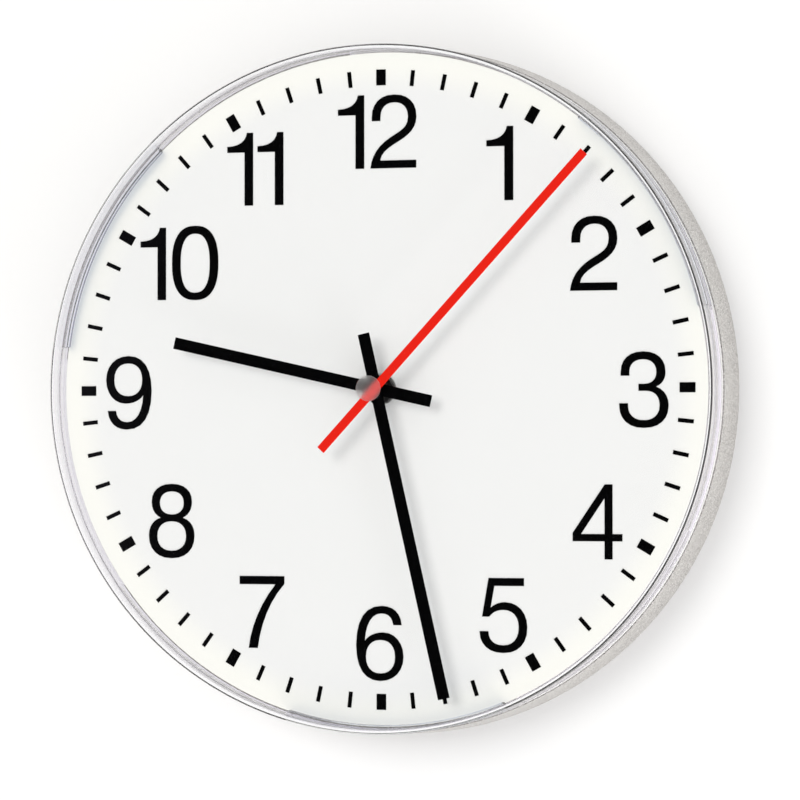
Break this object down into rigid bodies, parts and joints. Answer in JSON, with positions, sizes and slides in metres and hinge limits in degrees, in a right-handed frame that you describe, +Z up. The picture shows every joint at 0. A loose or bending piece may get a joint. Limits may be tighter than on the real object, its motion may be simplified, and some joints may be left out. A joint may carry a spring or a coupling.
{
  "type": "slave clock",
  "caption": "Round wall-mounted slave clock: silver case, white dial with upright numerals, black bar hands, red second hand and a clear domed cover that twists on.",
  "frame": {"origin": "centre of the case's back face, in the plane of the wall", "axes": "+Y into the wall, +Z up, +X to the right of someone who reads the dial; the dial faces -Y"},
  "size_m": [0.303, 0.053, 0.303],
  "materials": {
    "silver_case": "satin silver finish with a fine fleck",
    "zinc_steel": "dull zinc plate",
    "black_rubber": "matt",
    "white_nylon": "moulded, slightly waxy",
    "white_dial": "matt white paint on sheet aluminium",
    "black_ink": "flat printed ink",
    "clear_acrylic": "clear polished acrylic",
    "housing_plastic": "moulded",
    "turned_brass": "turned",
    "black_nut": "black oxide",
    "bright_steel": "ground",
    "board_green": "solder mask",
    "black_plastic": "moulded",
    "capacitor_sleeve": "shrink sleeve",
    "resistor_ceramic": "glazed body",
    "grey_plastic": "moulded",
    "stator_steel": "stamped sheet",
    "bobbin_plastic": "moulded",
    "copper_winding": "enamelled copper wire",
    "magnet_grey": "moulded ferrite",
    "black_hand": "satin black paint on aluminium",
    "red_hand": "bright red paint on aluminium"
  },
  "bodies": {
    "case": {"rear_case": "silver_case", "hanging_plate": "zinc_steel", "hanging_plate_screws": "zinc_steel", "cable_grommet": "black_rubber", "stud_sockets": "white_nylon", "dial": "white_dial", "dial_studs": "zinc_steel", "numerals": "black_ink", "minute_marks": "black_ink", "movement_rear_housing": "housing_plastic", "movement_front_plate": "housing_plastic", "housing_screws": "zinc_steel", "centre_bush": "turned_brass", "movement_pad": "black_rubber", "nut_washer": "zinc_steel", "centre_nut": "black_nut", "train_pins": "bright_steel", "motion_work_pin": "bright_steel", "circuit_board": "board_green", "controller_chip": "black_plastic", "capacitor": "capacitor_sleeve", "resistors": "resistor_ceramic", "terminal_block": "grey_plastic", "terminal_screws": "zinc_steel", "minute_stator": "stator_steel", "minute_coil_core": "stator_steel", "minute_coil_bobbin": "bobbin_plastic", "minute_coil_winding": "copper_winding", "seconds_stator": "stator_steel", "seconds_coil_core": "stator_steel", "seconds_coil_bobbin": "bobbin_plastic", "seconds_coil_winding": "copper_winding"},
    "cover": {"clear_cover": "clear_acrylic"},
    "minute_group": {"centre_wheel": "turned_brass", "minute_pipe": "turned_brass", "minute_hand": "black_hand", "minute_hand_collar": "black_hand"},
    "minute_intermediate": {"minute_intermediate_wheel": "white_nylon"},
    "minute_rotor": {"minute_rotor_pinion": "white_nylon", "minute_rotor_magnet": "magnet_grey"},
    "motion_work": {"motion_work_wheel": "turned_brass"},
    "hour_group": {"hour_wheel": "turned_brass", "hour_hand": "black_hand", "hour_hand_collar": "black_hand"},
    "second_group": {"seconds_wheel": "turned_brass", "seconds_arbor": "bright_steel", "second_hand": "red_hand", "second_hand_collar": "red_hand"},
    "seconds_intermediate": {"seconds_intermediate_wheel": "white_nylon"},
    "seconds_rotor": {"seconds_rotor_pinion": "white_nylon", "seconds_rotor_magnet": "magnet_grey"}
  },
  "joints": [
    {"name": "minute_hand_turn", "type": "hinge", "parent": "case", "child": "minute_group", "pos_m": [0, -0.02, 0], "axis": [0, 1, 0], "continuous": true},
    {"name": "minute_intermediate_turn", "type": "hinge", "parent": "case", "child": "minute_intermediate", "pos_m": [-0.014, -0.02, 0], "axis": [0, 1, 0], "continuous": true},
    {"name": "minute_rotor_step", "type": "hinge", "parent": "case", "child": "minute_rotor", "pos_m": [-0.014, -0.02, -0.012], "axis": [0, 1, 0], "continuous": true},
    {"name": "motion_work_turn", "type": "hinge", "parent": "case", "child": "motion_work", "pos_m": [0, -0.02, 0.012], "axis": [0, 1, 0], "continuous": true},
    {"name": "hour_hand_turn", "type": "hinge", "parent": "case", "child": "hour_group", "pos_m": [0, -0.02, 0], "axis": [0, 1, 0], "continuous": true},
    {"name": "second_hand_turn", "type": "hinge", "parent": "case", "child": "second_group", "pos_m": [0, -0.02, 0], "axis": [0, 1, 0], "continuous": true},
    {"name": "seconds_intermediate_turn", "type": "hinge", "parent": "case", "child": "seconds_intermediate", "pos_m": [0.014, -0.02, 0], "axis": [0, 1, 0], "continuous": true},
    {"name": "seconds_rotor_step", "type": "hinge", "parent": "case", "child": "seconds_rotor", "pos_m": [0.014, -0.02, -0.012], "axis": [0, 1, 0], "continuous": true},
    {"name": "cover_twist", "type": "hinge", "parent": "case", "child": "cover", "pos_m": [0, -0.02, 0], "axis": [0, -1, 0], "range_deg": [0, 42.5]}
  ],
  "couplings": [
    {"joint": "minute_intermediate_turn", "follows": "minute_hand_turn", "ratio": -6},
    {"joint": "minute_rotor_step", "follows": "minute_hand_turn", "ratio": 30},
    {"joint": "motion_work_turn", "follows": "minute_hand_turn", "ratio": -0.33333},
    {"joint": "hour_hand_turn", "follows": "minute_hand_turn", "ratio": 0.083333},
    {"joint": "seconds_intermediate_turn", "follows": "second_hand_turn", "ratio": -6},
    {"joint": "seconds_rotor_step", "follows": "second_hand_turn", "ratio": 30}
  ]
}
